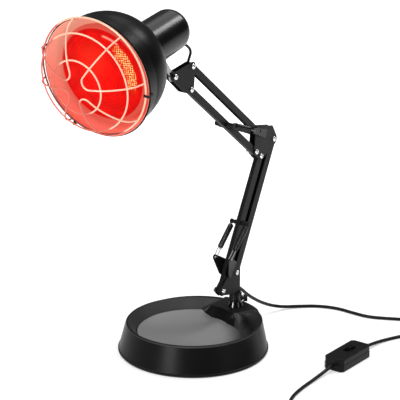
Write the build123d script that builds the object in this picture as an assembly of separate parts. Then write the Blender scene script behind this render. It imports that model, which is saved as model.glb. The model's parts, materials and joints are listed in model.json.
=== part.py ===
from build123d import *
from math import atan2, cos, degrees, hypot, pi, radians, sin, sqrt, tan
import os

# Infrared heat therapy lamp: a weighted round base carries a balanced two-stage arm with a
# bowl shade, a red reflector lamp and a wire guard at its end. Millimetres and degrees, +Z up.
# The origin is the centre of the base's resting face. The arm works in the plane y = ARM_Y.

# Base
BASE_R = 100.0
RIM_R = 89.5
RIM_H = 39.5
RIM_LAND = 3.0
WALL = 3.0
DISH_R = 76.0
DISH_Z = 26.0
FOOT_T = 1.5
WEIGHT_R = 80.0
WEIGHT_Z = 3.5
WEIGHT_T = 16.0
BOSS_Z = 42.0
BOSS_TOP = ((54.5, 20.5), (56.0, 22.5), (97.0, 20.0))
BOSS_FOOT = ((50.0, 18.6), (64.0, 35.3), (80.0, 44.0))
SWELL_AT = 8.2
SWELL_R = 85.2
LIP_Z = 4.6
SCREW_PCD_R = 62.0

# Swivel post and clamp collar
POST_X = 72.7
ARM_Y = -20.8
POST_R = 5.0
RUN_FIT = 0.08
COLLAR_R = 8.6
COLLAR_TOP = 60.0
GLAND_Z = 66.6
RIB_R = 10.8
RIB_TOP = 48.5
KNOB_R = 4.9
THUMB_ANGLE = -57.0
THUMB_Z = 52.5

# Pressed steel bars and brackets, measured across the arm plane
BAR_W = 6.0
BAR_D = 9.6
BAR_T = 0.9
LOWER_BAR_D = 13.6
LOWER_BAR_OFF = -2.0
PLATE_IN = 3.3
PLATE_T = 1.2
BOLT_R = 2.0
HEAD_R = 3.6
HEAD_H = 2.3
NUT_T = 4.2
NUT_R = 4.0
ELBOW_NUT_T = 5.2
ELBOW_NUT_R = 4.7

# Arm geometry in the arm plane: (x, z) of the pivots
LOW_FRONT = (34.1, 75.1)
LOW_REAR = (67.8, 91.2)
LOWER_LEN = 189.3
LOWER_LEAN = 29.8
ELBOW_STEP = (-12.0, 8.6)
UPPER_LEN = 196.2
UPPER_RISE = 36.5
UPPER_GAP = (3.5, 28.6)
TILT_FROM_TOP = (-38.9, -5.9)

# Springs
SPRING_R = 3.3
UPPER_SPRING_R = 3.8
EYE_W = 4.4
SPRING_Y = 11.5
WIRE_R = 0.5
STUD_HALF = 14.4
STUD_R = 2.0
LOW_STUD_AT = 95.2
LOW_STUD_OFF = 2.2
UP_STUD_AT = 89.0
HORN_TIP = (39.0, 118.6)
TAB_TIP = (98.0, 282.0)

# Head: a tilted frame with its origin in the shade's rim plane and its axis pointing back
HEAD_TILT = 11.45
RIM_BACK = 143.7
AXIS_UP = 57.7
SHADE_R = 72.2
BOWL_R = 68.5
BOWL_S = 20.0
SHEET = 1.4
SOCKET_R = 27.2
SOCKET_END_R = 26.1
SOCKET_END = 165.5
BULB_R = 59.0
BULB_FACE = 5.5
BULB_EDGE = 15.3

# Wire guard: a low dome of rings and hairpins, sitting a little up and to one side
GUARD_AT = (2.4, -1.5, -1.2)
GUARD_R = 70.8
GUARD_H = 39.5
GUARD_WIRE = 0.95
RING_RADII = (59.1, 32.3)
HAIRPINS = ((-37.0, 24.0), (65.0, 24.0), (151.0, 20.0), (239.0, 24.0))
HAIRPIN_STATIONS = (66.5, 59.1, 46.0, 32.3)
HAIRPIN_BENDS = (22, 34, 60, 55)
HAIRPIN_TURN = 19.9
CLIP_ANGLES = (-66.0, 99.0, 213.0)

# Mains cord, in-line switch and plug
CORD_R = 2.3
SWITCH_AT = (69.7, -194.2)
SWITCH_TURN = -4.5
SWITCH_L = 70.0
SWITCH_W = 30.0
SWITCH_H = 17.5
SWITCH_SPLIT = 9.5
COIL_R = 28.0
COIL_BAND = 7.2
COIL_AT = (-152.0, -212.0)
PLUG_AT = (-203.0, -190.0)
LEAD_R = 1.8
BUSH_R = 3.2

GAP = 0.3
FROM_BELOW = (Align.CENTER, Align.CENTER, Align.MIN)


def along(start, length, angle):
    """A point in the arm plane at a length and angle from another."""
    return (start[0] + length * cos(radians(angle)), start[1] + length * sin(radians(angle)))


def shifted(point, step):
    return (point[0] + step[0], point[1] + step[1])


LOW_ANGLE = 90 - LOWER_LEAN
UP_ANGLE = 180 - UPPER_RISE
ELBOW_FRONT = along(LOW_FRONT, LOWER_LEN, LOW_ANGLE)
ELBOW_REAR = along(LOW_REAR, LOWER_LEN, LOW_ANGLE)
UP_LOW = shifted(ELBOW_FRONT, ELBOW_STEP)
UP_HIGH = shifted(UP_LOW, UPPER_GAP)
HEAD_LOW = along(UP_LOW, UPPER_LEN, UP_ANGLE)
HEAD_HIGH = along(UP_HIGH, UPPER_LEN, UP_ANGLE)
TILT = shifted(HEAD_HIGH, TILT_FROM_TOP)
LOW_STUD = shifted(along(LOW_FRONT, LOW_STUD_AT, LOW_ANGLE), along((0, 0), LOW_STUD_OFF, LOW_ANGLE - 90))
UP_STUD = along(UP_LOW, UP_STUD_AT, UP_ANGLE)

TILT_COS = cos(radians(HEAD_TILT))
TILT_SIN = sin(radians(HEAD_TILT))
RIM_X = TILT[0] - RIM_BACK * TILT_COS - AXIS_UP * TILT_SIN
RIM_Z = TILT[1] - RIM_BACK * TILT_SIN + AXIS_UP * TILT_COS
HEAD = Plane(
    origin=(RIM_X, ARM_Y, RIM_Z),
    x_dir=(-TILT_SIN, 0, TILT_COS),
    z_dir=(TILT_COS, 0, TILT_SIN),
)
LEAD_EXIT = HEAD.location * Pos(-20.4, 5, 161.5) * Rot(0, -30, 0)


def slab(face, low, high):
    """Extrude a face drawn in (x, z) between two stations measured from the arm plane."""
    plane = Plane(origin=(0, ARM_Y + high, 0), x_dir=(1, 0, 0), z_dir=(0, -1, 0))
    return extrude(plane * face, high - low)


def disc(point, radius):
    return Pos(*point) * Circle(radius)


def across(point, radius, low, high):
    """A round pin or hole across the arm plane."""
    return slab(disc(point, radius), low, high)


def hull(*circles):
    """Outline of a pressed plate: the hull of circles given as (point, radius)."""
    edges = [edge for point, radius in circles for edge in disc(point, radius).edges()]
    return make_hull(edges)


def both_sides(make):
    """Make a piece for each side of the arm plane and join the two."""
    return make(1) + make(-1)


def round_profile(points):
    """Revolve a closed (radius, height) profile about the vertical."""
    outline = Polyline(*[(r, 0, z) for r, z in points], close=True)
    return revolve(make_face(outline), Axis.Z, 360)


# ---------------------------------------------------------------- base


def sector_spot(radius, angle, z):
    """A point about the base's centre, at an angle from the line through the post."""
    turn = atan2(ARM_Y, POST_X) + radians(angle)
    return (radius * cos(turn), radius * sin(turn), z)


def sector_arc(radius, half, z):
    return CenterArc((0, 0, z), radius, degrees(atan2(ARM_Y, POST_X)) - half, 2 * half)


def boss_section(corners, z):
    """One horizontal section of the post boss: inner arc, cut corners, flanks, outer arc."""
    inner, middle, outer = corners
    edges = [sector_arc(*inner, z), sector_arc(*outer, z)]
    for side in (1, -1):
        spots = [sector_spot(radius, side * half, z) for radius, half in (inner, middle, outer)]
        edges += Polyline(*spots).edges()
    return make_face(edges)


def swelling():
    """Oblique cone that swells the wall behind the post."""
    low = Pos(0, 0, LIP_Z + 0.6) * Circle(BASE_R - 1.2)
    high = Pos(*sector_spot(SWELL_AT, 0, BOSS_Z)) * Circle(SWELL_R)
    return loft([low, high], ruled=True)


def base_shell():
    """Weighted base's moulded cover: a lipped, tapered wall, a sunk dish and the post boss."""
    inner = RIM_R - RIM_LAND
    taper = (BASE_R - RIM_R) / (RIM_H - FOOT_T)
    outside = [(0, FOOT_T), (BASE_R - 0.8, FOOT_T), (BASE_R, FOOT_T + 0.8), (BASE_R, LIP_Z - 0.4)]
    outside += [(BASE_R - 1.1, LIP_Z), (RIM_R + taper * 2.0, RIM_H - 2.0), (RIM_R - 0.6, RIM_H - 0.5)]
    outside += [(RIM_R - 1.8, RIM_H), (0, RIM_H)]
    dish = [(0, DISH_Z), (DISH_R, DISH_Z), (inner, RIM_H - 0.2), (inner, RIM_H + 9), (0, RIM_H + 9)]
    under = [(0, 0), (BASE_R - WALL + 0.5, 0), (BASE_R - WALL, FOOT_T), (RIM_R - WALL, RIM_H - 2 * WALL)]
    under += [(inner - WALL, RIM_H - 2 * WALL), (DISH_R - 1.5, DISH_Z - WALL), (0, DISH_Z - WALL)]
    swell = swelling()
    wall = round_profile(outside) + (swell & Cylinder(2 * BASE_R, 2 * RIM_H))
    boss = loft([boss_section(BOSS_FOOT, DISH_Z - 0.5), boss_section(BOSS_TOP, BOSS_Z)], ruled=True)
    pin_hole = Pos(POST_X, ARM_Y, 29) * Cylinder(POST_R + RUN_FIT, 30, align=FROM_BELOW)
    return wall - round_profile(dish) + (boss & swell) - round_profile(under) - pin_hole


def base_weight():
    """Cast iron disc that keeps the lamp upright, tapped for the plate's screws."""
    disc_part = Pos(0, 0, WEIGHT_Z) * Cylinder(WEIGHT_R, WEIGHT_T, align=FROM_BELOW)
    for spot in PolarLocations(SCREW_PCD_R, 4, 45):
        disc_part -= spot * Pos(0, 0, WEIGHT_Z) * Cylinder(1.7, 16)
    return disc_part


def base_plate():
    """Steel bottom plate, let into the shell and holding the weight."""
    plate = Pos(0, 0, FOOT_T) * Cylinder(BASE_R - WALL - 1.2, WEIGHT_Z - FOOT_T, align=FROM_BELOW)
    for spot in PolarLocations(SCREW_PCD_R, 4, 45):
        plate -= spot * Pos(0, 0, FOOT_T) * Cone(3.3, 1.7, 1.6, align=FROM_BELOW)
        plate -= spot * Cylinder(1.7, 12)
    return plate


def base_screws():
    """Four countersunk screws through the bottom plate into the weight."""
    screw = Pos(0, 0, FOOT_T) * Cone(3.2, 1.6, 1.6, align=FROM_BELOW)
    screw += Pos(0, 0, FOOT_T + 1.5) * Cylinder(1.6, 6.5, align=FROM_BELOW)
    return Compound([spot * screw for spot in PolarLocations(SCREW_PCD_R, 4, 45)])


def foot_pad():
    """Soft pad glued under the whole base, which the lamp stands on."""
    return Cylinder(BASE_R - 2, FOOT_T, align=FROM_BELOW)


# ---------------------------------------------------------------- post


def post_socket():
    """Ribbed socket with a split collar and a boss for the thumb screw."""
    at_post = Pos(POST_X, ARM_Y, BOSS_Z)
    height = COLLAR_TOP - BOSS_Z
    rib_top = RIB_TOP - BOSS_Z
    rib_corners = [(0, 0, 0), (RIB_R, 0, 0), (COLLAR_R, 0, rib_top), (0, 0, rib_top)]
    rib_face = make_face(Polyline(*rib_corners, close=True))
    body = Cylinder(COLLAR_R, height, align=FROM_BELOW)
    body += Cylinder(RIB_R - 1.0, 1.4, align=FROM_BELOW)
    for spot in PolarLocations(0, 8, 10):
        body += spot * Pos(0, 0.8, 0) * extrude(rib_face, 1.6, dir=(0, -1, 0))
    body -= Pos(0, 0, height - 1.4) * (Cylinder(COLLAR_R + 3, 0.8) - Cylinder(COLLAR_R - 0.5, 0.8))
    screw_line = Rot(0, 0, THUMB_ANGLE) * Pos(0, 0, THUMB_Z - BOSS_Z) * Rot(0, 90, 0)
    body += screw_line * Pos(0, 0, COLLAR_R + 0.4) * Cylinder(3.6, 2.4)
    body -= screw_line * Cylinder(BOLT_R + RUN_FIT, 30, align=FROM_BELOW)
    body -= Cylinder(POST_R + RUN_FIT, 60)
    return at_post * body


def thumb_screw():
    """Round knurled clamp screw in the collar."""
    screw = Pos(0, 0, POST_R + 0.4) * Cylinder(BOLT_R, 6, align=FROM_BELOW)
    knob = Pos(0, 0, COLLAR_R + 2.1) * Cylinder(KNOB_R, 5.4, align=FROM_BELOW)
    for spot in PolarLocations(KNOB_R + 0.15, 12):
        knob -= spot * Pos(0, 0, COLLAR_R + 2) * Cylinder(0.6, 4.6, align=FROM_BELOW)
    knob = fillet(knob.faces().sort_by(Axis.Z)[-1].edges(), 0.5)
    line = Pos(POST_X, ARM_Y, THUMB_Z) * Rot(0, 0, THUMB_ANGLE) * Rot(0, 90, 0)
    return line * (screw + knob)


def swivel_pin():
    """Steel pin riveted into the bracket and turning in the socket."""
    shoulder = COLLAR_TOP + 0.6
    pin = Pos(POST_X, ARM_Y, 30) * Cylinder(POST_R, shoulder - 30, align=FROM_BELOW)
    neck = Pos(POST_X, ARM_Y, shoulder) * Cylinder(2.6, 3.6, align=FROM_BELOW)
    rivet = Pos(POST_X, ARM_Y, shoulder + 2.9) * Cylinder(3.0, 1.4, align=FROM_BELOW)
    return pin + neck + rivet


def swivel_washer():
    """Nylon washer that the bracket turns on."""
    ring = Cylinder(COLLAR_R - 0.4, 0.5, align=FROM_BELOW) - Cylinder(POST_R + RUN_FIT, 5)
    return Pos(POST_X, ARM_Y, COLLAR_TOP) * ring


def cord_gland():
    """Rubber gland between the bracket's plates, rounded about the swivel so the cord's end stays clear."""
    bush = Pos(POST_X, ARM_Y, GLAND_Z) * Rot(0, 90, 0) * Cylinder(2.8, 9, align=FROM_BELOW)
    return bush & (Pos(POST_X, ARM_Y, GLAND_Z) * (Cylinder(6.2, 9) - Cylinder(3.4, 9)))


# ---------------------------------------------------------------- bars


def bar(start, length, angle, open_up, holes, width=BAR_D, offset=0.0):
    """A pressed channel bar with round ends. holes lists (distance from start, hole radius).

    offset is how far the channel's middle lies above the line through its end pivots.
    """
    half = width / 2
    outline = Circle(half) + Pos(length, 0) * Circle(half) + Pos(length / 2, 0) * Rectangle(length, width)
    plane = Plane(origin=(0, BAR_W / 2, offset), x_dir=(1, 0, 0), z_dir=(0, -1, 0))
    channel = extrude(plane * outline, BAR_W)
    side = 1 if open_up else -1
    lines = channel.edges().filter_by(Axis.X)
    channel = fillet(lines.filter_by(lambda e: (e.center().Z - offset) * side < 0), 0.7)
    trough = Box(length + 3 * width, BAR_W - 2 * BAR_T, width)
    channel -= Pos(length / 2, 0, offset + side * BAR_T) * trough
    for distance, radius in holes:
        channel -= Pos(distance, 0, 0) * Rot(90, 0, 0) * Cylinder(radius, 2 * BAR_W)
    return Pos(start[0], ARM_Y, start[1]) * Rot(0, -angle, 0) * channel


def lower_bar(start, open_up, top_hole):
    holes = [(0, PIVOT_HOLE), (LOWER_LEN, top_hole)]
    return bar(start, LOWER_LEN, LOW_ANGLE, open_up, holes, LOWER_BAR_D, LOWER_BAR_OFF)


PIVOT_HOLE = BOLT_R + RUN_FIT
OPEN_HOLE = BOLT_R + GAP


def lower_front_bar():
    return lower_bar(LOW_FRONT, False, OPEN_HOLE) - across(LOW_STUD, STUD_R, -10, 10)


def lower_rear_bar():
    return lower_bar(LOW_REAR, True, PIVOT_HOLE)


def upper_low_bar():
    holes = [(0, PIVOT_HOLE), (UPPER_LEN, PIVOT_HOLE)]
    return bar(UP_LOW, UPPER_LEN, UP_ANGLE, False, holes) - across(UP_STUD, STUD_R, -10, 10)


def upper_high_bar():
    return bar(UP_HIGH, UPPER_LEN, UP_ANGLE, True, [(0, PIVOT_HOLE), (UPPER_LEN, OPEN_HOLE)])


def spring_stud(point):
    """Grooved cross stud that the two springs of a stage hook on."""
    stud = across(point, STUD_R, -STUD_HALF, STUD_HALF)
    cap_in, collar_in = STUD_HALF - 2.2, BAR_W / 2 + GAP
    stud += both_sides(lambda side: across(point, 3.4, *sorted((side * STUD_HALF, side * cap_in))))
    stud += both_sides(lambda side: across(point, 3.0, *sorted((side * 8.6, side * collar_in))))
    return stud


# ---------------------------------------------------------------- brackets


def plates(outline):
    """The two side plates of a bracket."""
    return both_sides(lambda side: slab(outline, *sorted((side * PLATE_IN, side * (PLATE_IN + PLATE_T)))))


def flared_horn(root, tip, root_sides, tip_r, side, shoulder=0.0):
    """A spring horn bent out from a bracket plate, with the hook's hole at its tip.

    root_sides gives its width above and below the root point; shoulder is how far the full
    width below runs out before the edge turns in towards the tip.
    """
    inside = PLATE_IN + PLATE_T / 2
    run = Vector(tip[0] - root[0], side * (SPRING_Y - inside), tip[1] - root[1])
    sideways = Vector(root[1] - tip[1], 0, tip[0] - root[0])
    plane = Plane(origin=(root[0], ARM_Y + side * inside, root[1]), x_dir=run, z_dir=run.cross(sideways))
    above, below = root_sides
    corners = [((0.8, 0.8 - above), 0.8), ((0.8, below - 7.0), 0.8), ((run.length, 0), tip_r)]
    if shoulder:
        corners.append(((shoulder, below - 3.0), 2.0))
        corners.append(((0.8, below - 0.8), 0.8))
    face = hull(*corners) - disc((run.length, 0), 1.5)
    return extrude(plane * face, PLATE_T / 2, both=True)


def drilled(bracket, pivots):
    for point in pivots:
        bracket -= across(point, BOLT_R + 0.05, -20, 20)
    return bracket


def base_bracket():
    """Pressed bracket on the post: two plates, a web, a foot disc and two spring horns."""
    low, high, left, right = 62.0, 101.0, 61.0, 77.0
    web_top = 63.4
    back = [((right - 1, low + 1), 1.0), ((right - 4, high - 4), 4.0)]
    outline = hull((LOW_FRONT, 5.8), ((left + 1, low + 1), 1.0), *back, ((left, high + 1), 2.0))
    web_box = Box(right - left, 2 * PLATE_IN + 0.4, web_top - low, align=FROM_BELOW)
    web = Pos((left + right) / 2, ARM_Y, low) * web_box
    foot = Pos(POST_X, ARM_Y, COLLAR_TOP + 0.6) * Cylinder(COLLAR_R - 1.4, 1.8, align=FROM_BELOW)
    horns = both_sides(lambda side: flared_horn((61.5, 97.5), HORN_TIP, (10.5, 15.0), 3.8, side, 13.0))
    bracket = plates(outline) + web + foot + horns
    bracket -= Pos(POST_X, ARM_Y, 60) * Cylinder(2.65, 20)
    return drilled(bracket, [LOW_FRONT, LOW_REAR])


def elbow_bracket():
    """Two plates that join the four bars at the elbow, with two spring arms."""
    corners = [(UP_LOW, 5.0), (UP_HIGH, 6.0), (ELBOW_FRONT, 6.0), (ELBOW_REAR, 8.0)]
    outline = hull(*corners, ((157.0, 273.0), 2.5))
    arms = both_sides(lambda side: flared_horn((142.0, 266.5), TAB_TIP, (7.0, 11.5), 3.8, side))
    pivots = [UP_LOW, UP_HIGH, ELBOW_FRONT, ELBOW_REAR]
    return drilled(plates(outline) + arms, pivots)


def head_bracket():
    """Two plates at the top of the arm that carry the tilting head."""
    chin = shifted(HEAD_LOW, (-14.5, 2.5))
    outline = hull((HEAD_HIGH, 5.8), (HEAD_LOW, 5.4), (TILT, 5.8), (chin, 3.0))
    return drilled(plates(outline), [HEAD_LOW, HEAD_HIGH, TILT])


def bolts(points, nut_t=NUT_T):
    """Pan head pivot bolts, one solid each, with the heads on the near side."""
    outer = PLATE_IN + PLATE_T
    made = []
    for point in points:
        shank = across(point, BOLT_R, -outer, outer + nut_t + 1.0)
        head = across(point, HEAD_R, -outer - HEAD_H, -outer)
        head = fillet(head.faces().sort_by(Axis.Y)[0].edges(), 1.2)
        made.append(shank + head)
    return Compound(made)


def rivet(point):
    """Flat headed pivot rivet that passes under the spring arms."""
    outer = PLATE_IN + PLATE_T
    heads = both_sides(lambda side: across(point, 3.4, *sorted((side * outer, side * (outer + 1.2)))))
    return across(point, BOLT_R, -outer, outer) + heads


def nuts(points, nut_t=NUT_T, nut_r=NUT_R):
    """Lock nuts on the far side of the pivot bolts: a hexagon and a round collar."""
    outer = PLATE_IN + PLATE_T
    made = []
    for point in points:
        nut = slab(Pos(*point) * RegularPolygon(nut_r, 6), outer, outer + nut_t - 1.2)
        nut += across(point, 0.84 * nut_r, outer + nut_t - 1.3, outer + nut_t)
        made.append(nut - across(point, BOLT_R + 0.05, 0, 20))
    return Compound(made)


def spring(hook, anchor, side, lead, body, radius=SPRING_R):
    """Tension spring: a ring round the stud, a closed coil and a long eye through the anchor's hole."""
    length = hypot(anchor[0] - hook[0], anchor[1] - hook[1])
    angle = degrees(atan2(anchor[1] - hook[1], anchor[0] - hook[0]))
    along_x = Rot(0, 90, 0)
    ring_r = STUD_R + WIRE_R + 0.1
    ring = Rot(90, 0, 0) * Torus(ring_r, WIRE_R)
    neck = Pos(ring_r, 0, 0) * along_x * Cylinder(WIRE_R, lead - ring_r, align=FROM_BELOW)
    coil = Pos(lead, 0, 0) * along_x * Cylinder(radius, body, align=FROM_BELOW)
    eye_start, eye_end = lead + body - 0.3, length + 0.7
    slot = Wire(SlotOverall(eye_end - eye_start, EYE_W).edges())
    eye_path = Pos((eye_start + eye_end) / 2, 0, 0) * slot
    eye = sweep(Plane(origin=eye_path @ 0, z_dir=eye_path % 0) * Circle(WIRE_R), path=eye_path)
    return Pos(hook[0], ARM_Y + side * SPRING_Y, hook[1]) * Rot(0, -angle, 0) * (ring + neck + coil + eye)


# ---------------------------------------------------------------- head


def head_revolve(edges):
    """Revolve a closed outline drawn as (radius, 0, s) about the head's axis."""
    return HEAD * revolve(make_face(edges), Axis.Z, 360)


def bowl_radius(radius, s):
    return sqrt(radius ** 2 - (s - BOWL_S) ** 2)


def bowl_station(radius, ring):
    """Where along the axis the bowl's sphere has a given ring radius."""
    return BOWL_S + sqrt(radius ** 2 - ring ** 2)


def bowl_points(radius, first_s, last_s):
    """Three points that set the bowl's arc."""
    middle = (first_s + last_s) / 2
    return [(bowl_radius(radius, s), 0, s) for s in (first_s, middle, last_s)]


def shade():
    """Spun bowl shade: a flared skirt, a spherical bowl and a rolled rim."""
    neck = SOCKET_R - 3.6
    inner_r = BOWL_R - SHEET
    out_end, in_end = bowl_station(BOWL_R, neck), bowl_station(inner_r, neck)
    edges = [
        Polyline((SHADE_R - SHEET, 0, 0), (SHADE_R, 0, 0), (BOWL_R, 0, BOWL_S)),
        ThreePointArc(*bowl_points(BOWL_R, BOWL_S, out_end)),
        Line((neck, 0, out_end), (neck, 0, in_end)),
        ThreePointArc(*bowl_points(inner_r, BOWL_S, in_end)),
        Line((inner_r, 0, BOWL_S), (SHADE_R - SHEET, 0, 0)),
    ]
    bead = Pos(SHADE_R - 0.4, 0, 1.0) * Rot(90, 0, 0) * Circle(1.3)
    return head_revolve(edges) + HEAD * revolve(bead, Axis.Z, 360)


def lamp_housing():
    """Lampholder housing: a slightly tapered tube with a domed end, seated on the bowl."""
    wall = 1.6
    r0, r1, crown = SOCKET_R, SOCKET_END_R, SOCKET_END - 16
    seat_out, seat_in = bowl_station(BOWL_R, r0) + 0.1, bowl_station(BOWL_R, r0 - wall) + 0.1
    edges = [
        Line((r0, 0, seat_out), (r1, 0, crown)),
        ThreePointArc((r1, 0, crown), (r1 - 4.2, 0, crown + 10.8), (r1 - 14, 0, SOCKET_END)),
        Line((r1 - 14, 0, SOCKET_END), (0, 0, SOCKET_END + 1)),
        Line((0, 0, SOCKET_END + 1), (0, 0, SOCKET_END + 1 - wall)),
        Line((0, 0, SOCKET_END + 1 - wall), (r1 - 14, 0, SOCKET_END - wall)),
        ThreePointArc(
            (r1 - 14, 0, SOCKET_END - wall),
            (r1 - 4.2 - 0.7 * wall, 0, crown + 10.8 - 0.7 * wall),
            (r1 - wall, 0, crown),
        ),
        Polyline((r1 - wall, 0, crown), (r0 - wall, 0, seat_in), (r0, 0, seat_out)),
    ]
    return head_revolve(edges) - LEAD_EXIT * Cylinder(BUSH_R, 14)


def lampholder():
    """Ceramic lampholder inside the housing, with the lamp's socket bore."""
    body = Pos(0, 0, 108.4) * Cylinder(20.0, 43.6, align=FROM_BELOW)
    body += Pos(0, 0, 138) * Cylinder(SOCKET_END_R - 2.0, 3, align=FROM_BELOW)
    body -= Pos(0, 0, 100) * Cylinder(14.2, 48.0, align=FROM_BELOW)
    return HEAD * body


def bulb_outline(wall):
    """Half outline of the lamp's glass, offset inwards by a wall thickness."""
    r, face_s, edge = BULB_R - wall, BULB_FACE + wall, BULB_EDGE
    return [
        ThreePointArc((0, 0, face_s), (r * 0.55, 0, face_s + 2.6), (r - 2.5, 0, edge - 4)),
        ThreePointArc((r - 2.5, 0, edge - 4), (r, 0, edge), (r - 1.2, 0, edge + 4)),
        ThreePointArc((r - 1.2, 0, edge + 4), (46.5 - wall, 0, 51), (23.5 - wall, 0, 79)),
        Polyline((23.5 - wall, 0, 79), (19 - wall, 0, 88), (17 - wall, 0, 102)),
    ]


def bulb_glass():
    """Reflector lamp's glass: a shallow domed face, a parabolic back and an open neck."""
    wall = 1.5
    edges = bulb_outline(0) + bulb_outline(wall)
    edges.append(Line((0, 0, BULB_FACE), (0, 0, BULB_FACE + wall)))
    edges.append(Line((17, 0, 102), (17 - wall, 0, 102)))
    return head_revolve(edges)


def bulb_cap():
    """Metal screw cap of the lamp, a thin shell closed by the centre contact."""
    skirt = [(17, 102.05), (17.2, 104), (13.4, 108), (13.4, 134), (8, 141), (7.2, 141)]
    inner = [(7.2, 139.8), (12.4, 133.4), (12.4, 107.4), (15.6, 104), (15.6, 102.05)]
    return HEAD * round_profile(skirt + inner)


def bulb_tip():
    """Insulated centre contact of the lamp."""
    return HEAD * round_profile([(0, 139.4), (7.1, 139.4), (7.1, 141), (4.5, 145), (4.5, 147), (0, 147)])


GUARD = HEAD.location * Pos(*GUARD_AT)


def dome_height(reach):
    """Height of the guard's dome in front of the rim, at a distance from its middle."""
    return -GUARD_H * sqrt(1 - (reach / (GUARD_R + 0.4)) ** 2)


def guard_rings():
    """Three ring wires: one on the rim and two carried by the hairpins."""
    rings = [Pos(0, 0, -2.0) * Torus(GUARD_R, GUARD_WIRE + 0.15)]
    for radius in RING_RADII:
        rings.append(Pos(0, 0, dome_height(radius) + 2 * GUARD_WIRE - 0.1) * Torus(radius, GUARD_WIRE))
    return Compound([GUARD * ring for ring in rings])


def hairpin(angle, half):
    """One bent wire: two spokes from the rim joined by a bend near the dome's middle."""
    spoke = [(GUARD_R - 0.6, -3.2)] + [(reach, dome_height(reach)) for reach in HAIRPIN_STATIONS]
    turn = radians(half)
    first = [Vector(reach * cos(turn), reach * sin(turn), s) for reach, s in spoke]
    last = [Vector(point.X, -point.Y, point.Z) for point in reversed(first)]
    bend = HAIRPIN_TURN * tan(turn)
    radii = [*HAIRPIN_BENDS, bend, *reversed(HAIRPIN_BENDS)]
    path = FilletPolyline(*first, Vector(0, 0, -GUARD_H), *last, radius=radii)
    wire = sweep(Plane(origin=path @ 0, z_dir=path % 0) * Circle(GUARD_WIRE), path=path)
    return GUARD * Rot(0, 0, angle) * wire


def guard_hairpins():
    return Compound([hairpin(angle, half) for angle, half in HAIRPINS])


def guard_clips():
    """Small sheet clips that hold the guard's outer ring to the shade's rim."""
    made = []
    for angle in CLIP_ANGLES:
        turn = radians(angle)
        wire_at = GUARD_R + GUARD_AT[0] * cos(turn) + GUARD_AT[1] * sin(turn)
        back = max(SHADE_R + 1.5, wire_at + GUARD_WIRE + 1.0)
        front = wire_at - GUARD_WIRE - 0.6
        clip = Pos(back, 0, -1.0) * Box(0.8, 3, 9.4)
        clip += Pos((front + back) / 2, 0, -5.3) * Box(back - front, 3, 0.8)
        clip += Pos((SHADE_R + back) / 2 + 0.2, 0, 3.3) * Box(back - SHADE_R, 3, 0.8)
        made.append(HEAD * Rot(0, 0, angle) * clip)
    return Compound(made)


def tilt_tongue():
    """Steel strap from the housing down to the tilt bolt, two plies pressed together."""
    eye = disc(TILT, 6.2)
    s, drop = 128.0, 29.6
    top = (RIM_X + s * TILT_COS + drop * TILT_SIN, RIM_Z + s * TILT_SIN - drop * TILT_COS)
    strap = hull((TILT, 3.0), (top, 3.0)) + eye
    tongue = slab(strap, -1.2, 1.2) - across(TILT, BOLT_R + 0.05, -5, 5)
    bore = SOCKET_R - 0.65
    saddle = (Cylinder(bore + 1.6, 12) - Cylinder(bore, 12)) & (Pos(-bore, 0, 0) * Box(12, 13, 12))
    return tongue + HEAD * Pos(0, 0, s) * saddle


def tongue_washers():
    """Friction washers on both sides of the strap."""
    gap = PLATE_IN - GAP
    ring = Circle(5.8) - Circle(BOLT_R + 0.05)
    return Compound([slab(Pos(*TILT) * ring, *sorted((side * 1.25, side * gap))) for side in (1, -1)])


def cable_bush():
    """Small bush where the lead leaves the housing's domed end."""
    bush = Pos(0, 0, -1) * Cylinder(BUSH_R, 5, align=FROM_BELOW) - Cylinder(LEAD_R, 30)
    return LEAD_EXIT * bush


# ---------------------------------------------------------------- cords


def corner_radii(points):
    """Arc radius of each corner: 0.45 of the shorter run over the tangent of half the turn."""
    radii = []
    for before, corner, after in zip(points, points[1:], points[2:]):
        first, second = corner - before, after - corner
        turn = radians(first.get_angle(second))
        radii.append(0.45 * min(first.length, second.length) / tan(turn / 2))
    return radii


def tube(name, route, radius):
    """A plain round tube along straight runs joined by tangent arcs."""
    points = [Vector(*point) for point in route]
    radii = corner_radii(points)
    path = FilletPolyline(*points, radius=radii)
    solid = sweep(Plane(origin=path @ 0, z_dir=path % 0) * Circle(radius), path=path)
    share = solid.volume / (pi * radius ** 2 * path.length)
    print(name, "length", round(path.length), "volume share", round(share, 4))
    print("  corner radii", [round(r) for r in radii])
    return solid


def head_lead():
    """Short lead that arches from the housing's bush down between the head bracket's plates."""
    begin = (LEAD_EXIT * Pos(0, 0, 4.1)).position
    entry = Vector(HEAD_HIGH[0] - 7.3, ARM_Y, HEAD_HIGH[1] + 1.5)
    points = [
        begin,
        Vector(begin.X + 8, begin.Y, begin.Z - 2.4),
        Vector(entry.X + 4.5, ARM_Y - 4, entry.Z + 19),
        Vector(entry.X + 2.5, ARM_Y - 1.5, entry.Z + 8),
        entry,
    ]
    return tube("head_lead", points, LEAD_R - 0.1)


def switch_point(forward, up):
    """A point on the switch's long axis."""
    turn = radians(SWITCH_TURN)
    return (SWITCH_AT[0] + forward * cos(turn), SWITCH_AT[1] + forward * sin(turn), up)


def lamp_cord():
    route = [
        (80.4, ARM_Y, 65.5),
        (89, ARM_Y, 59.4),
        (103, -20.9, 47.8),
        (122, -21, 34.8),
        (145, -21, 21.4),
        (167, -23, 10.6),
        (186, -31, 4.0),
        (204, -46, CORD_R),
        (220, -68, CORD_R),
        (227, -96, CORD_R),
        (223, -123, CORD_R),
        (221, -148, CORD_R),
        (231, -174, CORD_R),
        (243, -201, CORD_R),
        (238, -230, CORD_R),
        (213, -236, CORD_R),
        (186, -219, CORD_R),
        (161, -205, CORD_R),
        (133, -197.5, 4.2),
        switch_point(SWITCH_L / 2 + 0.5, 8.0),
    ]
    return tube("lamp_cord", route, CORD_R)


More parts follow.
